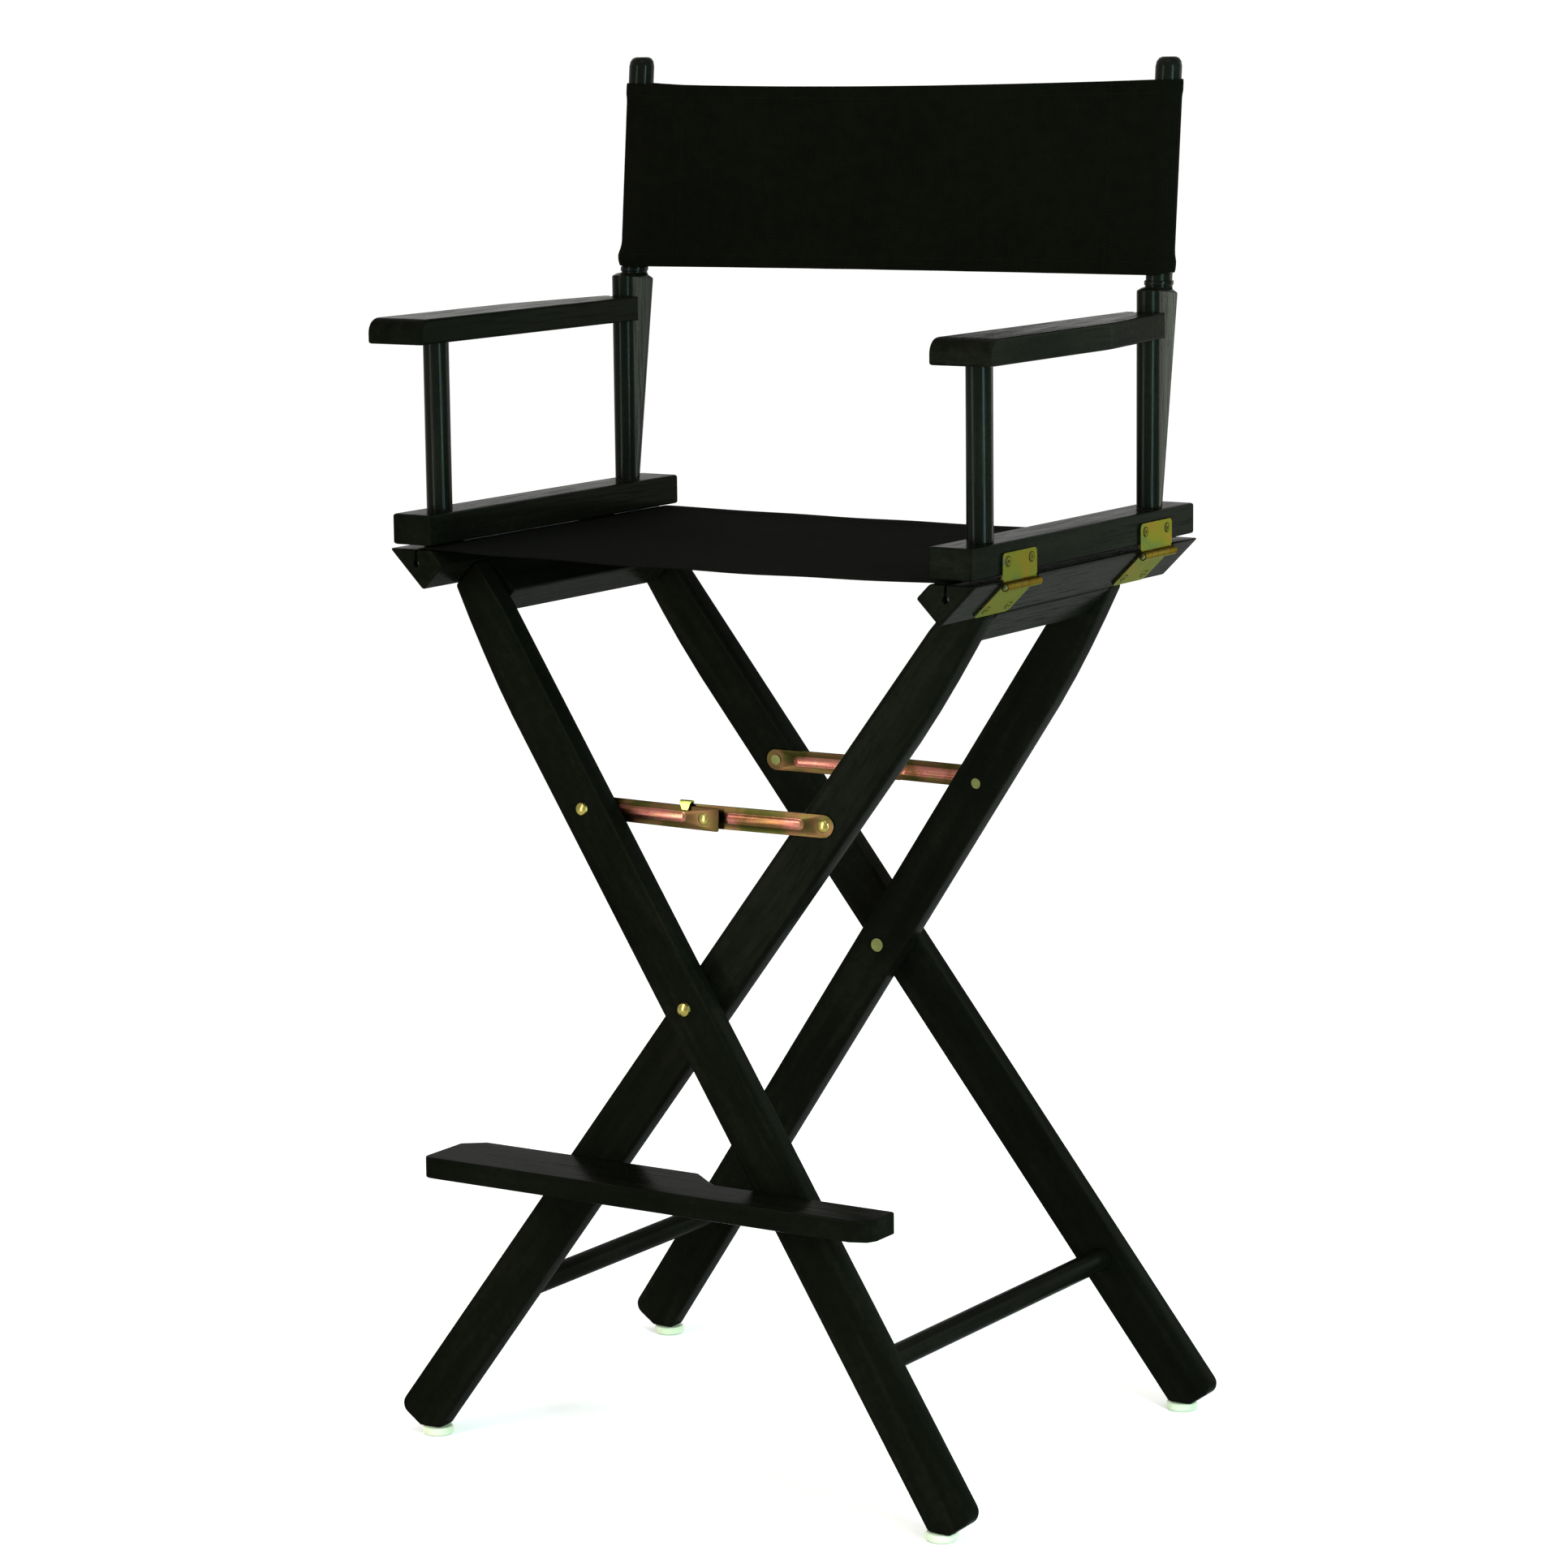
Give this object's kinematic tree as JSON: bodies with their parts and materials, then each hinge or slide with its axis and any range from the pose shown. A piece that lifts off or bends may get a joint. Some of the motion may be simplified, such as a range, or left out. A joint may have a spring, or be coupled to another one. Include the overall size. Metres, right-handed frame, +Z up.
{
  "type": "folding director chair",
  "caption": "Tall folding director chair with crossed wooden legs, sling seat and back, flat arms and a swing-up footrest.",
  "frame": {"origin": "middle of the chair's outline on the floor, under the four glides", "axes": "+Z up, the sitter faces -Y, +X is the viewer's right of the front, the sitter's left"},
  "size_m": [0.5926, 0.4524, 1.156],
  "materials": {
    "wood": "black satin lacquer",
    "canvas": "matte black canvas",
    "zinc": "yellow passivated zinc",
    "stay_steel": "bronze passivated zinc",
    "brass": "plated, bright",
    "black_steel": "black",
    "glide": "pale translucent nylon"
  },
  "bodies": {
    "outer_frame": {"front_outer_leg": "wood", "rear_outer_leg": "wood", "left_leg_rail": "wood", "left_rail_batten": "wood", "right_stretcher": "wood", "front_outer_glide": "glide", "rear_outer_glide": "glide", "front_cross_bolt": "brass", "front_cross_spacer": "zinc", "rear_cross_bolt": "brass", "rear_cross_spacer": "zinc", "left_front_hinge_lower_leaf": "zinc", "left_rear_hinge_lower_leaf": "zinc", "left_front_hinge_pin": "zinc", "left_rear_hinge_pin": "zinc", "front_outer_stay_rivet": "brass", "rear_outer_stay_rivet": "brass", "footrest_bolt": "black_steel"},
    "inner_frame": {"front_inner_leg": "wood", "rear_inner_leg": "wood", "right_leg_rail": "wood", "right_rail_batten": "wood", "left_stretcher": "wood", "front_inner_glide": "glide", "rear_inner_glide": "glide", "right_front_hinge_lower_leaf": "zinc", "right_rear_hinge_lower_leaf": "zinc", "right_front_hinge_pin": "zinc", "right_rear_hinge_pin": "zinc", "front_inner_stay_rivet": "brass", "rear_inner_stay_rivet": "brass", "footrest_stud": "black_steel", "right_seat_rod": "stay_steel"},
    "left_arm_frame": {"left_arm": "wood", "left_arm_base": "wood", "left_front_post": "wood", "left_rear_post": "wood", "left_front_hinge_upper_leaf": "zinc", "left_rear_hinge_upper_leaf": "zinc", "back_canvas": "canvas"},
    "right_arm_frame": {"right_arm": "wood", "right_arm_base": "wood", "right_front_post": "wood", "right_rear_post": "wood", "right_front_hinge_upper_leaf": "zinc", "right_rear_hinge_upper_leaf": "zinc"},
    "seat": {"seat_canvas": "canvas", "left_seat_rod": "stay_steel"},
    "front_outer_stay": {"front_outer_stay": "stay_steel", "front_outer_stay_middle_rivet": "brass"},
    "rear_outer_stay": {"rear_outer_stay": "stay_steel", "rear_outer_stay_middle_rivet": "brass"},
    "front_inner_stay": {"front_inner_stay": "stay_steel", "front_inner_stay_middle_rivet": "brass"},
    "rear_inner_stay": {"rear_inner_stay": "stay_steel", "rear_inner_stay_middle_rivet": "brass"},
    "footrest": {"footrest_board": "wood"}
  },
  "joints": [
    {"name": "fold", "type": "hinge", "parent": "outer_frame", "child": "inner_frame", "pos_m": [0, 0.0088, 0.3965], "axis": [0, -1, 0], "range_deg": [0, 58]},
    {"name": "left_arm_hinge", "type": "hinge", "parent": "outer_frame", "child": "left_arm_frame", "pos_m": [-0.2808, 0.0088, 0.75435], "axis": [0, -1, 0], "range_deg": [0, 29.01], "deforming": ["back_canvas"]},
    {"name": "right_arm_hinge", "type": "hinge", "parent": "inner_frame", "child": "right_arm_frame", "pos_m": [0.2808, 0.0088, 0.75435], "axis": [0, -1, 0], "range_deg": [-29.01, 0]},
    {"name": "seat_rod_turn", "type": "hinge", "parent": "outer_frame", "child": "seat", "pos_m": [-0.254, 0.0088, 0.7484], "axis": [0, -1, 0], "range_deg": [0, 29.01], "deforming": ["seat_canvas"]},
    {"name": "front_outer_stay_turn", "type": "hinge", "parent": "outer_frame", "child": "front_outer_stay", "pos_m": [-0.10864, -0.14003, 0.54993], "axis": [-0.0486, -0.9965, 0.0686], "range_deg": [0, 108.06]},
    {"name": "rear_outer_stay_turn", "type": "hinge", "parent": "outer_frame", "child": "rear_outer_stay", "pos_m": [-0.10864, 0.15763, 0.54993], "axis": [0.0486, -0.9965, -0.0686], "range_deg": [0, 108.06]},
    {"name": "front_inner_stay_turn", "type": "hinge", "parent": "inner_frame", "child": "front_inner_stay", "pos_m": [0.10864, -0.11383, 0.54993], "axis": [0.0486, -0.9965, 0.0686], "range_deg": [-108.06, 0]},
    {"name": "rear_inner_stay_turn", "type": "hinge", "parent": "inner_frame", "child": "rear_inner_stay", "pos_m": [0.10864, 0.13143, 0.54993], "axis": [-0.0486, -0.9965, -0.0686], "range_deg": [-108.06, 0]},
    {"name": "footrest_swing", "type": "hinge", "parent": "outer_frame", "child": "footrest", "pos_m": [0.10515, -0.17126, 0.248], "axis": [0.0486, 0.9965, -0.0686], "range_deg": [0, 20]}
  ],
  "couplings": [
    {"joint": "left_arm_hinge", "follows": "fold", "ratio": 0.5},
    {"joint": "right_arm_hinge", "follows": "fold", "ratio": -0.5},
    {"joint": "seat_rod_turn", "follows": "fold", "ratio": 0.5},
    {"joint": "front_outer_stay_turn", "follows": "fold", "ratio": 1.8629},
    {"joint": "rear_outer_stay_turn", "follows": "fold", "ratio": 1.8629},
    {"joint": "front_inner_stay_turn", "follows": "fold", "ratio": -1.8629},
    {"joint": "rear_inner_stay_turn", "follows": "fold", "ratio": -1.8629}
  ]
}
